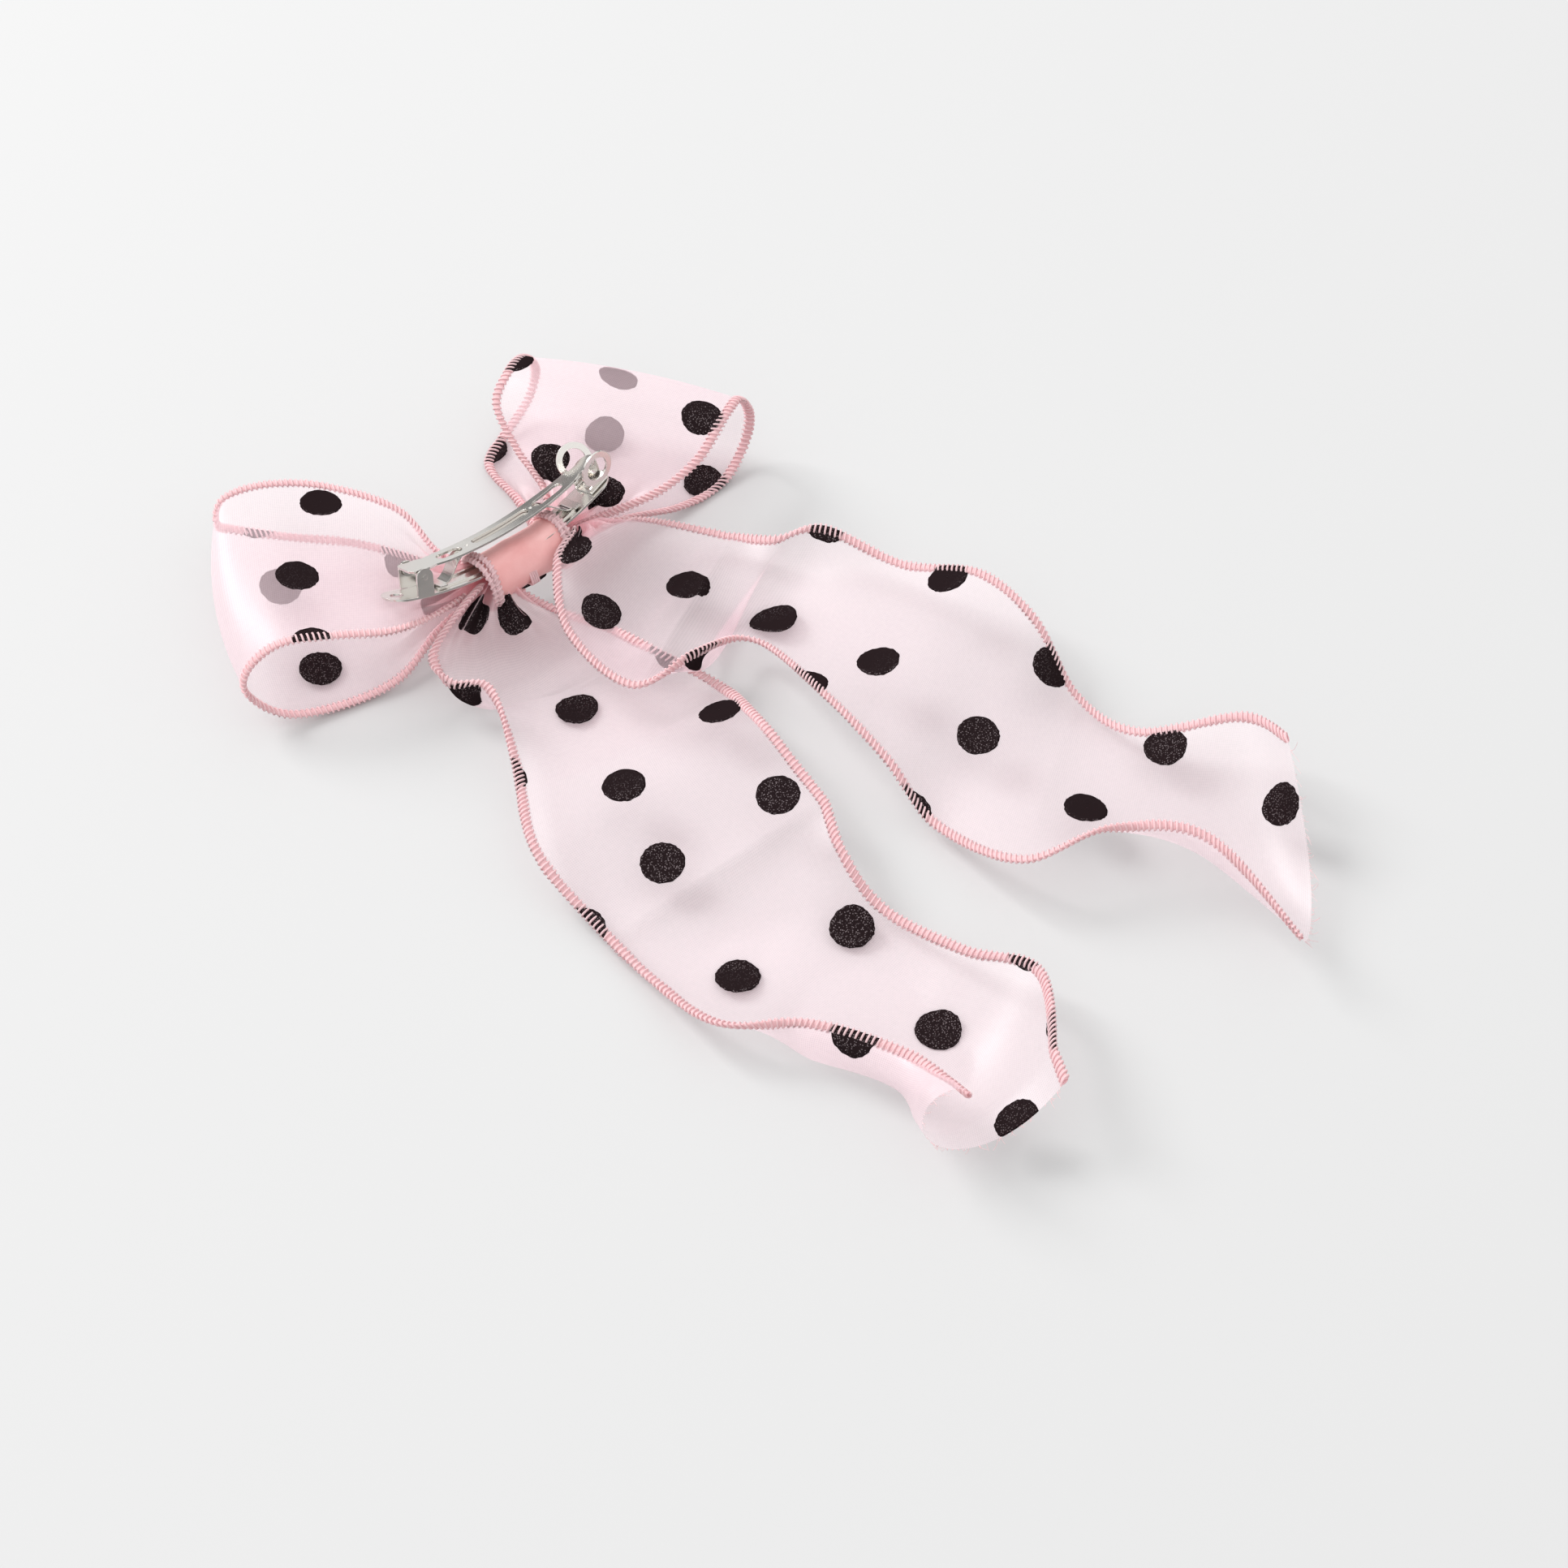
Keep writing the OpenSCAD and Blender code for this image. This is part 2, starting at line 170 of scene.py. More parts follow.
# A dot from the middle of its top, over the rim and back underneath: shares of its radius and of its pile.
DOT_RINGS = [k / 8 for k in range(1, 8)]
DOT_PROFILE = [(0.01, 1), *[(share, 1) for share in DOT_RINGS[:-1]], (0.87, 1), (0.96, 0.8), (1, 0.1),
               (0.98, -0.4), *[(share, -0.4) for share in reversed(DOT_RINGS)], (0.01, -0.4)]


def curl(span, lean):
    """Cross-sections of a ribbon whose edges are a span apart.

    Gives each point's place along the line between the edges, and its height over that line. A lean of 0
    curls the ribbon evenly, and 1 or -1 puts the curl by the first or the last edge.
    """
    step = RIBBON_W / COLUMNS
    tightest = 5.6      # the most that a cross-section may turn in all, in radians
    pull = 4.0          # how strongly a full lean draws the curl to one edge
    share = np.exp(pull * lean[:, None] * (0.5 - (np.arange(COLUMNS) + 0.5) / COLUMNS))
    turned = np.cumsum(share, axis=1) / share.sum(axis=1, keepdims=True)

    # Halving finds the whole turn that brings the edges to their span.
    low = np.zeros(len(span))
    high = np.full(len(span), tightest)
    for _ in range(30):
        middle = (low + high) / 2
        angle = turned * middle[:, None]
        reach = np.hypot(np.cos(angle).sum(axis=1), np.sin(angle).sum(axis=1)) * step
        wide = reach > span
        low = np.where(wide, middle, low)
        high = np.where(wide, high, middle)

    # The chain of short steps is laid out, then turned so that its ends lie on the line between the edges.
    angle = turned * low[:, None]
    place = np.stack([np.cos(angle), np.sin(angle)], -1).cumsum(axis=1) * step
    place = np.concatenate([np.zeros((len(span), 1, 2)), place], axis=1)
    c, s = (unit(place[:, -1])[:, k, None] for k in (0, 1))
    return c * place[..., 0] + s * place[..., 1], s * place[..., 0] - c * place[..., 1]


class Ribbon:
    """A ribbon between two long edges, which keeps its width by curling or by pleating.

    near and far are points of the two edges, and arch, lean and gather have one value for each pair of
    them. arch is how far the cloth curls, down if it is negative. lean is where it curls, as in curl().
    gather is how far it is pleated instead. dots are places across and along the flat ribbon. bow is how
    far the last end is rounded outward, in mm.
    """

    def __init__(self, near, far, arch, lean, gather, dots, bow=0.0):
        a = smooth_path(near)
        b = smooth_path(far)
        arch = np.clip(smooth_path(arch), -1, 1)[:, None]
        lean = np.clip(smooth_path(lean), -1, 1)
        gather = np.clip(smooth_path(gather), 0, 1)[:, None]
        chord = b - a
        span = np.linalg.norm(chord, axis=1)
        along = unit(np.gradient((a + b) / 2, axis=0))
        across = unit(chord)
        up = unit(np.cross(along, chord))
        w = np.linspace(0, 1, COLUMNS + 1)
        curl_x, curl_h = curl(span, lean)
        # Pleats of uneven widths take up what the curl leaves.
        slack = np.sqrt(np.maximum(RIBBON_W ** 2 - span ** 2, 0))[:, None] / (4 * PLEATS)
        pleat = np.sin(TURN * PLEATS * w + 0.9 * np.sin(TURN * w))
        share = np.abs(arch) * (1 - gather)
        x = share * curl_x + (1 - share) * span[:, None] * w
        h = (1 - gather) * arch * curl_h + gather * slack * pleat
        grid = a[:, None] + x[..., None] * across[:, None] + h[..., None] * up[:, None]
        by_end = np.clip(1 - np.arange(len(grid))[::-1] / STEPS, 0, 1) ** 2
        grid += bow * by_end[:, None, None] * np.sin(math.pi * w)[None, :, None] * along[:, None]
        grid[..., 2] = np.maximum(grid[..., 2], FLOOR_GAP)
        self.grid = grid
        self.w = w * RIBBON_W
        self.s = lengths((a + b) / 2)
        self.dots = dots
        self.packed = gather[:, 0]

    def cell(self, across, along):
        """The nearest mesh row and column to a point of the flat ribbon, kept two off the mesh's border."""
        row = int(np.clip(np.searchsorted(self.s, along), 2, len(self.s) - 3))
        column = int(np.clip(round(across / RIBBON_W * COLUMNS), 2, COLUMNS - 2))
        return row, column

    def surface(self, across, along):
        """Points of the ribbon in space, from their places on the flat ribbon."""
        row = np.clip(np.interp(along, self.s, np.arange(len(self.s))), 0, len(self.s) - 1.001)
        column = np.clip(np.asarray(across) / RIBBON_W * COLUMNS, 0, COLUMNS - 0.001)
        i, k = row.astype(int), column.astype(int)
        u, v = (row - i)[..., None], (column - k)[..., None]
        g = self.grid
        here = (1 - v) * g[i, k] + v * g[i, k + 1]
        after = (1 - v) * g[i + 1, k] + v * g[i + 1, k + 1]
        return (1 - u) * here + u * after

    def flocking(self, name, material):
        """The ribbon's dots: round, slightly raised discs of black pile that follow the cloth."""
        turn = circle(DOT_SIDES)
        rng = np.random.default_rng(len(name))
        points, faces = [], []
        for across, along in self.dots:
            i, k = self.cell(across, along)
            way_w = (self.grid[i, k + 2] - self.grid[i, k - 2]) / (self.w[k + 2] - self.w[k - 2])
            way_s = (self.grid[i + 2, k] - self.grid[i - 2, k]) / (self.s[i + 2] - self.s[i - 2])
            e1 = unit(way_w)
            up = unit(np.cross(way_s, way_w))
            e2 = np.cross(up, e1)
            # A rim that is round in space is traced on the flat ribbon, which may be stretched here.
            flatten = np.linalg.inv([[way_w @ e1, way_s @ e1], [way_w @ e2, way_s @ e2]])
            rim = DOT_R + rng.uniform(-0.12, 0.12, DOT_SIDES)
            disc = []
            for share, high in DOT_PROFILE:
                shift = flatten @ np.stack([share * rim * np.cos(turn), share * rim * np.sin(turn)])
                disc += list(self.surface(across + shift[0], along + shift[1]) + high * PILE * up)
            join(points, faces, disc, grid_faces(len(DOT_PROFILE), DOT_SIDES, wrap=True))
        return mesh_object(name, np.array(points) * MM + KNOT, faces, material)

    def dotted(self, across, along):
        """1 where a dot covers the ribbon, else 0."""
        inside = [np.hypot(across - x, along - y) < DOT_R for x, y in self.dots]
        return np.any(inside, axis=0).astype(float)

    def cloth(self, name, material):
        """The ribbon's sheet, with UV maps of its flat places in mm and of how far it is gathered."""
        rows, columns = self.grid.shape[:2]
        across = np.broadcast_to(self.w, (rows, columns))
        along = np.broadcast_to(self.s[:, None], (rows, columns))
        flat = np.stack([across, along], -1).reshape(-1, 2)
        points = self.grid.reshape(-1, 3) * MM + KNOT
        packed = np.broadcast_to(self.packed[:, None], (rows, columns))
        return mesh_object(name, points, grid_faces(rows, columns), material,
                           {"weave": flat, "packed": as_uv(packed)})

    def edge(self, far):
        """The path of one edge, the way into the ribbon from it, and the ribbon's normal there."""
        line = self.grid[:, -1] if far else self.grid[:, 0]
        inside = self.grid[:, -4] if far else self.grid[:, 3]
        inward = unit(inside - line)
        along = unit(np.gradient(line, axis=0))
        return line, inward, unit(np.cross(along, inward))


def frays(name, ribbon, material):
    """Loose threads along the raw end of a ribbon: three in four are short, and the rest stand out."""
    rng = random.Random(name)
    end = ribbon.grid[-1]
    along = unit(ribbon.grid[-1] - ribbon.grid[-4])
    points, faces = [], []
    for _ in range(FRAYS):
        k = rng.randrange(2, COLUMNS - 2)
        aside = unit(end[k + 1] - end[k])
        reach = rng.uniform(0.3, 1.0) if rng.random() < 0.75 else rng.uniform(1.2, 2.6)
        lean = rng.uniform(-0.8, 0.8)
        lift = np.array([0, 0, rng.uniform(-0.2, 0.5)])
        t = np.linspace(0, 1, 6)[:, None]
        path = end[k] + aside * rng.uniform(0, 1) + reach * (t * along[k] + t ** 2 * (lean * aside + lift))
        path[:, 2] = np.maximum(path[:, 2], 0.1)
        join(points, faces, *tube(path, 0.045, around=4))
    return mesh_object(name, np.array(points) * MM + KNOT, faces, material)


def resample(path, step):
    """Even steps along a path, and a function that reads values given at its points at those steps."""
    s = lengths(path)
    t = np.linspace(0, s[-1], max(int(s[-1] / step), 4))

    def even(values):
        return np.stack([np.interp(t, s, values[:, k]) for k in range(values.shape[1])], -1)

    return t, even


def rolled_hem(node, ribbon, far, first):
    """The rolled hem of one edge, lumpy from its stitches, black where it crosses a dot."""
    half_w = 0.85
    half_h = 0.38
    around = 10
    line, inward, normal = (part[first:] for part in ribbon.edge(far))
    t, even = resample(line, 0.3)
    p, i, n = even(line), unit(even(inward)), unit(even(normal))
    along = even(ribbon.s[first:, None])
    turn = circle(around)
    depth = HEM_MIDDLE + half_w * np.cos(turn)
    lump = 1 + 0.1 * np.sin(TURN * t / STITCH)
    ring = depth[None, :, None] * i[:, None] + half_h * np.sin(turn)[None, :, None] * n[:, None]
    core = (p[:, None] + ring * lump[:, None, None]).reshape(-1, 3)
    core[:, 2] = np.maximum(core[:, 2], 0.05)
    across = np.broadcast_to(RIBBON_W - depth if far else depth, (len(p), around))
    spots = ribbon.dotted(across, np.broadcast_to(along, across.shape))
    return mesh_object(node + "_hem", core * MM + KNOT, grid_faces(len(p), around, wrap=True), hem,
                       {"spots": as_uv(spots)})


def edge_stitches(node, ribbon, far, first):
    """The thread of one edge, wound round the hem once for each stitch, a little unevenly."""
    rng = random.Random(node)
    line, inward, normal = (part[first:] for part in ribbon.edge(far))
    t, even = resample(line, STITCH / 14)
    p, i, n = even(line), unit(even(inward)), unit(even(normal))
    phase = TURN * t / STITCH
    sways = [rng.uniform(-0.12, 0.12) for _ in range(60)]
    reach = 1.05 + np.interp(t, np.linspace(0, t[-1], len(sways)), sways)
    spiral = p + (HEM_MIDDLE + reach * np.cos(phase))[:, None] * i + (0.5 * np.sin(phase))[:, None] * n
    spiral[:, 2] = np.maximum(spiral[:, 2], FLOOR_GAP)
    points, faces = tube(spiral, 0.24, around=5)
    return mesh_object(node + "_stitches", points * MM + KNOT, faces, thread)


# ---------------------------------------------------------------- materials

def nodes_of(name):
    """A new material and its empty node tree."""
    material = bpy.data.materials.new(name)
    material.use_nodes = True
    tree = material.node_tree
    tree.nodes.clear()
    return material, tree


def add(tree, kind, inputs=None, **settings):
    """A node with its settings and inputs; an input may be a value or another node's socket."""
    node = tree.nodes.new(kind)
    for key, value in settings.items():
        setattr(node, key, value)
    for key, value in (inputs or {}).items():
        if isinstance(value, bpy.types.NodeSocket):
            tree.links.new(value, node.inputs[key])
        else:
            node.inputs[key].default_value = value
    return node


def maths(tree, operation, a, b=0.0, c=0.0, clamp=False):
    """The result of a maths node."""
    return add(tree, "ShaderNodeMath", {0: a, 1: b, 2: c}, operation=operation, use_clamp=clamp).outputs[0]


def step_down(tree, value, start, end):
    """1 below start, 0 above end."""
    node = add(tree, "ShaderNodeMapRange", {"Value": value, "From Min": start, "From Max": end,
                                            "To Min": 1.0, "To Max": 0.0}, interpolation_type="SMOOTHSTEP")
    return node.outputs["Result"]


def noise(tree, vector, scale, detail=2.0, rough=0.5):
    """The value of a noise texture."""
    return add(tree, "ShaderNodeTexNoise",
               {"Vector": vector, "Scale": scale, "Detail": detail, "Roughness": rough}).outputs["Fac"]


def mapped(tree, uv_map):
    """The value that as_uv() put in a UV map."""
    pair = add(tree, "ShaderNodeUVMap", uv_map=uv_map).outputs["UV"]
    return add(tree, "ShaderNodeSeparateXYZ", {0: pair}).outputs[0]


def flock_shader(tree):
    """Short black pile, plain from the side, with painted glints where it faces the view."""
    place = add(tree, "ShaderNodeTexCoord").outputs["Object"]
    # fine specks where the painted glint may show
    glint_speck = add(tree, "ShaderNodeTexVoronoi", {"Vector": place, "Scale": 2600.0}).outputs["Distance"]
    glint_speck = step_down(tree, glint_speck, 0.1, 0.4)
    patch = noise(tree, place, 900.0, 2.0)
    glint_speck = maths(tree, "MULTIPLY", glint_speck, maths(tree, "MULTIPLY", patch, 1.3))
    dark = add(tree, "ShaderNodeBsdfDiffuse", {"Color": (0.016, 0.010, 0.011, 1.0)}).outputs[0]
    # painted glint: a lighter diffuse grey in fine specks, shown where the pile faces the view
    painted_glint = add(tree, "ShaderNodeBsdfDiffuse", {"Color": (0.30, 0.25, 0.26, 1.0)}).outputs[0]
    facing = add(tree, "ShaderNodeLayerWeight", {"Blend": 0.5}).outputs["Facing"]
    amount = maths(tree, "MULTIPLY", glint_speck, step_down(tree, facing, 0.08, 0.42))
    return add(tree, "ShaderNodeMixShader", {0: amount, 1: dark, 2: painted_glint}).outputs[0]


def flock_material():
    """The pile by itself, for the dots."""
    material, tree = nodes_of("black_flock")
    add(tree, "ShaderNodeOutputMaterial", {"Surface": flock_shader(tree)})
    return material


def organza_material(cover, sheen):
    """Sheer plain weave, denser and rosier where it is gathered.

    cover is about the share of it that is thread, and sheen is the share of that which is glossy.
    """
    material, tree = nodes_of("dotted_organza")
    cloth = add(tree, "ShaderNodeUVMap", uv_map="weave").outputs["UV"]
    parts = add(tree, "ShaderNodeSeparateXYZ", {0: cloth})
    packed = mapped(tree, "packed")
    colour = add(tree, "ShaderNodeMix", {"Factor": packed, "A": PINK, "B": ROSE},
                 data_type="RGBA").outputs["Result"]
    threads = []
    for axis in (0, 1):
        wave = maths(tree, "SINE", maths(tree, "MULTIPLY", parts.outputs[axis], TURN / WEAVE))
        threads.append(maths(tree, "MULTIPLY_ADD", wave, 0.5, 0.5))
    weave = maths(tree, "MAXIMUM", threads[0], threads[1])
    slub = noise(tree, cloth, 0.9, 4.0, 0.6)
    alpha = maths(tree, "MULTIPLY_ADD", weave, 0.08, cover - 0.055)
    alpha = maths(tree, "MULTIPLY_ADD", packed, 0.2, alpha)
    uneven = maths(tree, "MULTIPLY", maths(tree, "SUBTRACT", slub, 0.5), 0.06)
    alpha = maths(tree, "ADD", alpha, uneven, clamp=True)
    bump = add(tree, "ShaderNodeBump", {"Height": weave, "Strength": 0.15, "Distance": 0.0001}).outputs[0]
    front = add(tree, "ShaderNodeBsdfDiffuse", {"Color": colour, "Normal": bump}).outputs[0]
    back = add(tree, "ShaderNodeBsdfTranslucent", {"Color": colour, "Normal": bump}).outputs[0]
    body = add(tree, "ShaderNodeMixShader", {0: 0.5, 1: front, 2: back}).outputs[0]
    gloss = add(tree, "ShaderNodeBsdfGlossy",
                {"Color": (1.0, 0.97, 0.98, 1.0), "Roughness": 0.42, "Normal": bump}).outputs[0]
    body = add(tree, "ShaderNodeMixShader", {0: sheen, 1: body, 2: gloss}).outputs[0]
    clear = add(tree, "ShaderNodeBsdfTransparent").outputs[0]
    sheer = add(tree, "ShaderNodeMixShader", {0: alpha, 1: clear, 2: body}).outputs[0]
    add(tree, "ShaderNodeOutputMaterial", {"Surface": sheer})
    return material


def thread_material(name, colour, dotted=False):
    """Spun thread, matt with a little light passing through, and black over dots if it is dotted."""
    material, tree = nodes_of(name)
    place = add(tree, "ShaderNodeTexCoord").outputs["Object"]
    shade = noise(tree, place, 900.0, 3.0)
    dark = (*[c * 0.86 for c in colour], 1.0)
    light = (*[min(c * 1.1, 1) for c in colour], 1.0)
    tint = add(tree, "ShaderNodeMix", {"Factor": shade, "A": dark, "B": light},
               data_type="RGBA").outputs["Result"]
    front = add(tree, "ShaderNodeBsdfPrincipled",
                {"Base Color": tint, "Roughness": 0.75, "Sheen Weight": 0.25,
                 "Specular IOR Level": 0.2}).outputs[0]
    back = add(tree, "ShaderNodeBsdfTranslucent", {"Color": tint}).outputs[0]
    body = add(tree, "ShaderNodeMixShader", {0: 0.3, 1: front, 2: back}).outputs[0]
    if dotted:
        spots = mapped(tree, "spots")
        body = add(tree, "ShaderNodeMixShader", {0: spots, 1: body, 2: flock_shader(tree)}).outputs[0]
    add(tree, "ShaderNodeOutputMaterial", {"Surface": body})
    return material


def nickel_material():
    """Bright nickel plate with rounded edges and a slightly uneven polish."""
    material, tree = nodes_of("bright_nickel")
    place = add(tree, "ShaderNodeTexCoord").outputs["Object"]
    rough = maths(tree, "MULTIPLY_ADD", noise(tree, place, 500.0, 2.0), 0.08, 0.12)
    soft = add(tree, "ShaderNodeBevel", {"Radius": 0.0001}, samples=8).outputs[0]
    body = add(tree, "ShaderNodeBsdfPrincipled",
               {"Base Color": (0.72, 0.695, 0.66, 1.0), "Metallic": 1.0, "Roughness": rough,
                "Normal": soft}).outputs[0]
    add(tree, "ShaderNodeOutputMaterial", {"Surface": body})
    return material


# The red is set a touch over 1, to keep the thin cloth light and pink where it is in shade.
PINK = (1.08, 0.85, 0.91, 1.0)
ROSE = (1.08, 0.66, 0.70, 1.0)
organza = organza_material(cover=0.35, sheen=0.10)
thread = thread_material("pink_thread", (1.0, 0.69, 0.71))
hem = thread_material("rolled_hem", (1.0, 0.65, 0.67), dotted=True)
flock = flock_material()
nickel = nickel_material()


# ---------------------------------------------------------------- loops and tails

# Each loop runs out over the top and comes back underneath; each tail runs out to its raw end.
LEFT_LOOP = Ribbon(
    near=[(-8, 1, 12), (-23, -2, 13.5), (-35, -3, 17), (-46, 1, 20), (-56, 6, 20.5), (-63, 8.5, 15.5),
          (-64.5, 8, 9), (-59, 3, 3), (-47, -1, 1), (-34.5, -3, 2), (-22, 0, 5), (-8, -0.5, 9)],
    far=[(-8, 4.5, 10.5), (-12.5, 13, 13), (-12.5, 27.5, 15), (-20, 44, 14), (-31, 50, 17), (-41, 51, 18.5),
         (-45, 48, 16), (-41.5, 48.5, 11.5), (-32, 42, 8), (-21, 32, 6.5), (-13.5, 19, 6.5), (-8, 3, 7.5)],
    arch=[0, 0, 0, -0.1, -0.2, -0.3, -0.3, -0.3, -0.2, 0, 0, 0],
    lean=[0, 0, 0, 0, 0, 0, 0, 0, 0, 0, 0, 0],
    gather=[1, 0.6, 0.1, 0, 0, 0, 0, 0, 0, 0.1, 0.6, 1],
    dots=[(45, 35), (20, 41), (-1, 39), (55, 74), (37, 75.5), (13, 78), (50, 102), (20, 107)])
RIGHT_LOOP = Ribbon(
    near=[(8, 1, 12), (24, -0.5, 11), (35, -4, 13.5), (45, -5, 17.5), (54, -2, 21), (62, 2, 20),
          (66, 3, 12), (63, 2, 4), (54, -1, 0.8), (42, -1, 1.5), (27, 2, 5), (8, -0.5, 9)],
    far=[(8, 4.5, 10.5), (16, 13, 12), (18, 26, 14), (20, 36, 19), (26, 40, 22), (33, 44, 20),
         (38, 47, 12), (35, 46, 5), (26, 43, 1.5), (17, 37, 1.5), (14, 21, 4), (8, 3, 7.5)],
    arch=[0, 0, 0.1, 0.3, 0.4, 0.4, 0.4, 0.3, 0.2, 0, 0, 0],
    lean=[0, 0, 0, 0, 0, 0, 0, 0, 0, 0, 0, 0],
    gather=[1, 0.6, 0.1, 0, 0, 0, 0, 0, 0, 0.1, 0.6, 1],
    dots=[(5, 38.5), (40, 20), (17, 16.5), (31, 54), (31, 70), (4, 76), (52, 44), (53, 81.5)])
LEFT_TAIL = Ribbon(
    near=[(-7.5, 0.5, 12.5), (-17.5, -3, 13), (-29, -7, 9), (-30, -16, 9.5), (-25, -23, 10),
          (-32.5, -40.5, 8), (-43, -61, 8), (-43, -79.5, 3), (-42.5, -99, 3), (-41, -117, 8),
          (-28, -129, 10), (-19.5, -147.5, 12.5), (-20, -164.5, 18)],
    far=[(-5, 0, 12), (-2.5, -5.5, 8), (2, -17.5, 8), (5, -24, 8.5), (8, -35, 9), (15, -47.5, 4),
         (12, -67.5, 12), (10.5, -85, 11.5), (3.5, -101.5, 10), (3.5, -114.5, 4), (8, -133, 6),
         (13, -149, 11), (-4.5, -171, 15.5)],
    arch=[0, 0, -0.2, -0.7, -0.8, -0.4, -0.2, -0.6, -0.6, -0.5, -1, -1, -1],
    lean=[0, 0, 0.5, 1, 1, 0.4, 0, 0, 0, 0.3, 1, 0.9, 0.6],
    gather=[1, 0.6, 0.3, 0.1, 0, 0, 0, 0, 0, 0, 0, 0, 0],
    dots=[(33, 10), (13.5, 8.5), (4.5, 26), (25, 39.5), (46.5, 59.5), (54, 36.5), (-2.5, 51.5),
          (21.5, 67), (45, 87.5), (18.5, 86.5), (-2, 89), (43.5, 120.5), (17, 114), (32.5, 149),
          (0.5, 149), (54.5, 154), (54.5, 172), (39.5, 180.5)],
    bow=1.5)
RIGHT_TAIL = Ribbon(
    near=[(8, -3.5, 12.5), (12, -3, 15), (4, -7, 15), (-4.5, -22, 11.5), (-3, -42, 11), (12.5, -43.5, 12),
          (27, -45, 6.5), (25, -70, 12.5), (24.5, -90, 10.5), (24.5, -105.5, 4), (28, -127, 11),
          (45, -134, 15), (59, -147.5, 14), (55.5, -176, 13)],
    far=[(8, 0, 11), (19, -4, 14.5), (27, -6, 12), (35, -8, 7), (43, -17, 5.5), (48, -27, 9),
         (57.5, -32, 10), (65, -49.5, 8), (72, -66, 14), (73, -82, 13), (71, -98, 3.5), (73, -114, 5),
         (87, -129, 13), (87, -141, 17)],
    arch=[0, 0, 0.2, 0.1, -0.4, -0.8, -0.4, -0.2, 0, 0.1, -0.1, -0.4, -0.8, -1],
    lean=[0, 0, 0, 0, 0.4, 1, 0.4, 0, 0, 0, 0.3, 1, 1, 1],
    gather=[1, 0.6, 0.1, 0, 0, 0, 0, 0, 0, 0, 0, 0, 0, 0],
    dots=[(10, 11), (12.5, 23.5), (33.5, 35), (19.5, 62.5), (54, 63), (3, 50.5), (19.5, 90.5), (48.5, 96),
          (-1, 79), (48.5, 128.5), (22, 119), (-2, 112.5), (46, 159), (19.5, 146), (37, 188)],
    bow=3.5)


def dress(name, ribbon, first):
    """Makes a ribbon's cloth, its dots and its two overlocked edges, which start at a given mesh row."""
    cloth = ribbon.cloth(name + "_cloth", organza)
    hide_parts(name)
    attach(cloth, "root")
    dots = ribbon.flocking(name + "_dots", flock)
    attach(dots, "root")
    trims = [dots]
    for title, far in (("near", False), ("far", True)):
        node = f"{name}_{title}_edging"
        made = [rolled_hem(node, ribbon, far, first), edge_stitches(node, ribbon, far, first)]
        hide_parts(node)
        for piece in made:
            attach(piece, "root")
        trims += made
    if name.endswith("tail"):
        loose = frays(name + "_frays", ribbon, thread)
        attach(loose, "root")
        trims.append(loose)
    return cloth, trims


# ---------------------------------------------------------------- centre wrap

def clip_axes():
    """The rolled clip's own ways: along it, across it and up through it."""
    c, s = math.cos(CLIP_ROLL), math.sin(CLIP_ROLL)
    return np.array([1.0, 0, 0]), np.array([0, c, -s]), np.array([0, s, c])


def wrap_ring(outset=0.0, count=96):
    """Widths and heights of the wrap's cross-section, squarer over the plate and rounder below."""
    turn = circle(count)
    c, s = np.cos(turn), np.sin(turn)
    power = np.where(s > 0, 0.7, 1.0)
    return np.stack([(WRAP_HALF_W + outset) * np.sign(c) * np.abs(c) ** power,
                     (WRAP_HALF_H + outset) * np.sign(s) * np.abs(s) ** power], -1)


def wrap_material():
    """The organza folded several times: the same weave, dense and rosier, with soft creases whose hollows
    carry painted shade.
    """
    material, tree = nodes_of("folded_organza")
    cloth = add(tree, "ShaderNodeUVMap", uv_map="weave").outputs["UV"]
    folds = add(tree, "ShaderNodeVectorMath", {0: cloth, 1: (0.12, 0.10, 0.0)},
                operation="MULTIPLY").outputs[0]
    crease = noise(tree, folds, 1.0, 3.0)
    grain = noise(tree, cloth, 5.0, 3.0, 0.7)
    # painted shade: the tint goes deeper in the hollows of the crease bump and paler on its ridges; the
    # grain adds random flecks of tone
    shade = maths(tree, "MULTIPLY_ADD", maths(tree, "SUBTRACT", crease, 0.5), 2.2, 0.5, clamp=True)
    fleck = maths(tree, "MULTIPLY", maths(tree, "SUBTRACT", grain, 0.5), 0.9)
    shade = maths(tree, "ADD", shade, fleck, clamp=True)
    deep = (0.84, 0.37, 0.36, 1.0)
    pale = (1.0, 0.58, 0.56, 1.0)
    tint = add(tree, "ShaderNodeMix", {"Factor": shade, "A": deep, "B": pale},
               data_type="RGBA").outputs["Result"]
    height = maths(tree, "ADD", crease, maths(tree, "MULTIPLY", grain, 0.06))
    bump = add(tree, "ShaderNodeBump", {"Height": height, "Strength": 0.6, "Distance": 0.0012}).outputs[0]
    front = add(tree, "ShaderNodeBsdfPrincipled",
                {"Base Color": tint, "Roughness": 0.5, "Sheen Weight": 0.3, "Normal": bump,
                 "Specular IOR Level": 0.5}).outputs[0]
    add(tree, "ShaderNodeOutputMaterial", {"Surface": front})
    return material


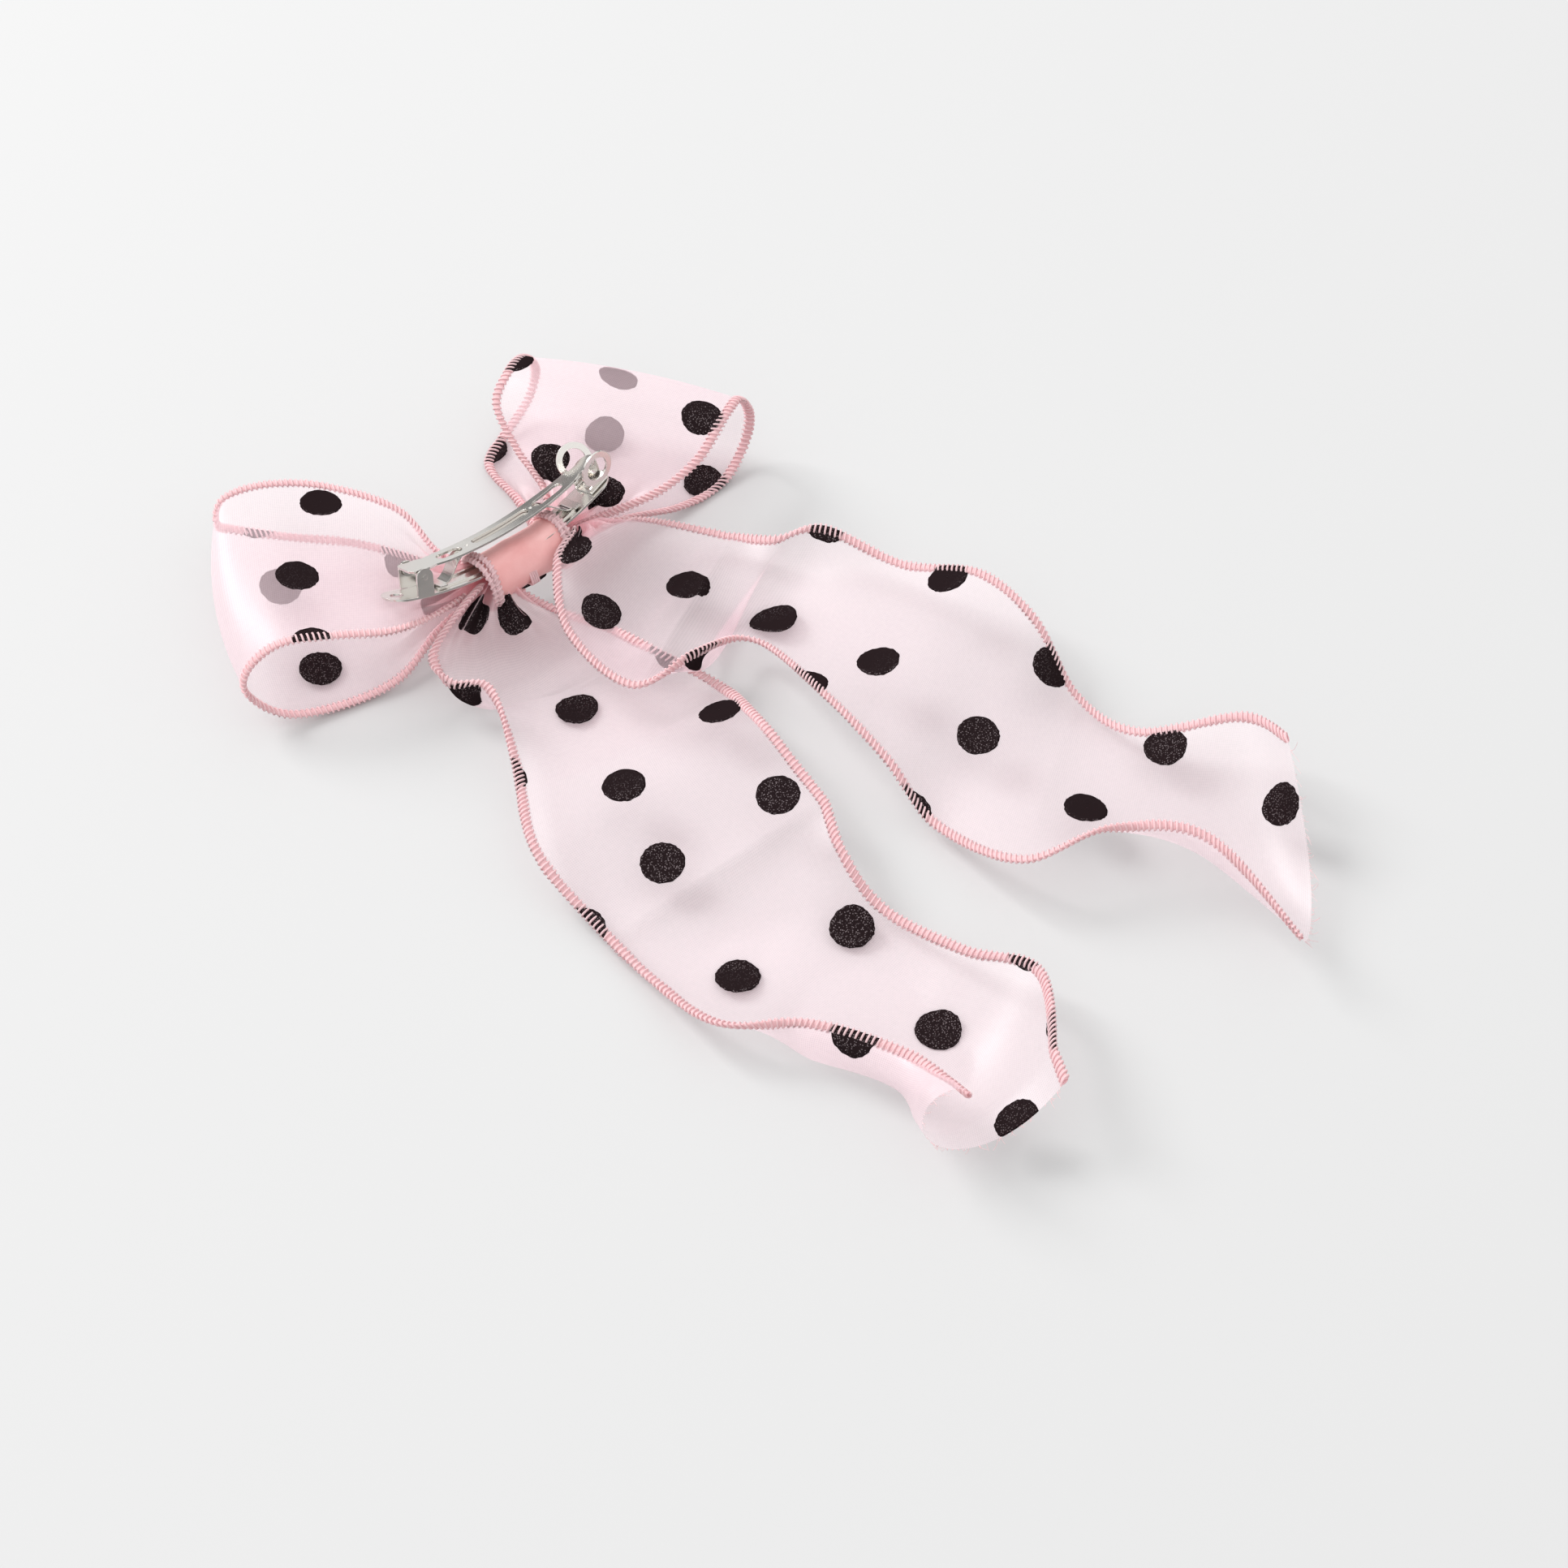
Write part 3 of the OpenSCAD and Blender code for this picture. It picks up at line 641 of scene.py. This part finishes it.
def centre_wrap():
    """The folded cloth round the knot, pinched a little at its middle, with shallow slanting folds."""
    ex, ey, ez = clip_axes()
    rows = 61
    ring = wrap_ring()
    turn = circle(len(ring))
    points = []
    for x in np.linspace(-WRAP_LENGTH / 2, WRAP_LENGTH / 2, rows):
        pinch = 1 - 0.05 * math.cos(math.pi * x / WRAP_LENGTH)
        fold = 0.02 * np.sin(TURN * x / 11 + 2.6 * np.sin(turn))
        crease = 0.006 * np.sin(TURN * x / 4.7 + 3 * turn)
        for y, z in ring * (pinch + fold + crease)[:, None]:
            points.append(x * ex + y * ey + z * ez)
    around = np.arange(len(ring)) * WRAP_ROUND / len(ring)
    flat = np.meshgrid(np.linspace(0, WRAP_LENGTH, rows), around, indexing="ij")
    made = mesh_object("centre_wrap_cloth", np.array(points) * MM + WRAP_MID,
                       grid_faces(rows, len(ring), wrap=True), wrap_material(),
                       {"weave": np.stack(flat, -1).reshape(-1, 2)})
    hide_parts("centre_wrap")
    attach(made, "root")
    return made


def wrap_dots(places):
    """Flocked dots on the wrap, from their places along it and their angles round it in degrees."""
    ex, ey, ez = clip_axes()
    mean_r = 5.0        # turns a distance round the wrap into an angle
    outset = 0.05
    sides = 40
    profile = [(0.01, 1), *[(share, 1) for share in DOT_RINGS], (0.97, 0.7), (1, -1)]
    turn = circle(sides)
    points, faces = [], []
    for x, angle in places:
        disc = []
        for share, high in profile:
            for u, v in share * DOT_R * np.stack([np.cos(turn), np.sin(turn)], -1):
                a = math.radians(angle) + v / mean_r
                y = (WRAP_HALF_W + outset + high * PILE) * math.cos(a)
                z = (WRAP_HALF_H + outset + high * PILE) * math.sin(a)
                disc.append((x + u) * ex + y * ey + z * ez)
        join(points, faces, disc, grid_faces(len(profile), sides, wrap=True))
    made = mesh_object("centre_wrap_dots", np.array(points) * MM + WRAP_MID, faces, flock)
    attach(made, "root")
    return made


def wrap_hem(node, x):
    """The overlocked rim at one end of the wrap: two ropes round it, each a hem and its thread."""
    ex, ey, ez = clip_axes()
    inner = -1.3 * math.copysign(1, x)      # from the rope at the end to the one beside it
    points, faces = [], []
    for inset, outset, start in ((0.0, 0.2, 0.0), (inner, 0.45, 1.9)):
        ring = wrap_ring(outset, 240)
        ring = np.concatenate([ring, ring[:1]])
        line = (x + inset) * ex + ring[:, :1] * ey + ring[:, 1:] * ez
        t, even = resample(line, 0.08)
        p = even(line)
        out = unit(p - (x + inset) * ex)
        p = p + 0.2 * np.sin(t / 2.3 + start)[:, None] * ex
        phase = TURN * t / STITCH + start
        spiral = p + (0.65 * np.cos(phase))[:, None] * ex + (0.3 + 0.3 * np.sin(phase))[:, None] * out
        join(points, faces, *tube(spiral, 0.26, around=5))
        join(points, faces, *tube(p + 0.15 * out, 0.5, around=8))
    made = mesh_object(node + "_stitches", np.array(points) * MM + WRAP_MID, faces, thread)
    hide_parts(node)
    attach(made, "root")
    return made


# ---------------------------------------------------------------- build

wrap = centre_wrap()
wrap_end = WRAP_LENGTH / 2 + 0.4
wrap_trims = [wrap_hem("wrap_left_edging", -wrap_end),
              wrap_hem("wrap_right_edging", wrap_end),
              wrap_dots([(1, -65), (9, -40)])]

far_off = 40.0      # the paper runs on past the horizon, in metres
floor_material, floor_tree = nodes_of("paper_floor")
paper = add(floor_tree, "ShaderNodeBsdfDiffuse", {"Color": (0.58, 0.58, 0.58, 1.0)}).outputs[0]
add(floor_tree, "ShaderNodeOutputMaterial", {"Surface": paper})
corners = [(-far_off, -far_off, 0), (far_off, -far_off, 0), (far_off, far_off, 0), (-far_off, far_off, 0)]
floor = mesh_object("floor", corners, [(0, 1, 2, 3)], floor_material)

for name, ribbon in (("left_loop", LEFT_LOOP), ("right_loop", RIGHT_LOOP),
                     ("left_tail", LEFT_TAIL), ("right_tail", RIGHT_TAIL)):
    cloth, trims = dress(name, ribbon, STEPS // 2)
    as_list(trims)

METAL = ("base_plate", "clasp_arm", "tension_spring", "catch_bracket",
         "catch_wing_near", "catch_wing_far", "catch_rivet")
for node, material in (*[(node, nickel) for node in METAL], ("gathering_thread", thread)):
    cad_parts[node].data.materials.clear()
    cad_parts[node].data.materials.append(material)


# ---------------------------------------------------------------- camera and light

def point_at(made, target):
    """Turns a camera or light to face a place."""
    made.rotation_euler = (Vector(target) - made.location).to_track_quat("-Z", "Y").to_euler()


def camera():
    """A short telephoto view from above and to the left, aimed between the knot and the tails' ends."""
    azimuth = math.radians(-39.8)
    elevation = math.radians(51)
    distance = 0.6167
    target = Vector((KNOT[0] + 0.0102, KNOT[1] - 0.0752, 0))
    back = Vector((math.sin(azimuth) * math.cos(elevation), -math.cos(azimuth) * math.cos(elevation),
                   math.sin(elevation)))
    data = bpy.data.cameras.new("camera")
    data.lens = 68.9
    data.sensor_width = 36
    data.clip_start = 0.01
    made = bpy.data.objects.new("camera", data)
    bpy.context.scene.collection.objects.link(made)
    made.location = target + distance * back
    point_at(made, target)
    bpy.context.scene.camera = made


def softbox(name, place, size, power):
    """A square soft light that faces the middle of the bow."""
    data = bpy.data.lights.new(name, "AREA")
    data.shape = "SQUARE"
    data.size = size
    data.energy = power
    made = bpy.data.objects.new(name, data)
    bpy.context.scene.collection.objects.link(made)
    made.location = place
    point_at(made, (KNOT[0], KNOT[1] - 0.06, 0))


def sky():
    """A white room, greyer low down, so that the metal has something to reflect."""
    world = bpy.data.worlds.new("room")
    bpy.context.scene.world = world
    world.use_nodes = True
    tree = world.node_tree
    tree.nodes.clear()
    way = add(tree, "ShaderNodeTexCoord").outputs["Generated"]
    height = add(tree, "ShaderNodeSeparateXYZ", {0: way}).outputs[2]
    shade = add(tree, "ShaderNodeMapRange", {"Value": height, "From Min": 0.05, "From Max": 0.35,
                                             "To Min": 0.12, "To Max": 1.12}).outputs["Result"]
    light = add(tree, "ShaderNodeBackground", {"Color": (1.0, 1.0, 1.0, 1.0), "Strength": shade}).outputs[0]
    add(tree, "ShaderNodeOutputWorld", {"Surface": light})


camera()
sky()
softbox("key", place=(-0.67, 2.15, 1.7), size=1.2, power=58.0)
bpy.context.scene.view_settings.view_transform = "Standard"
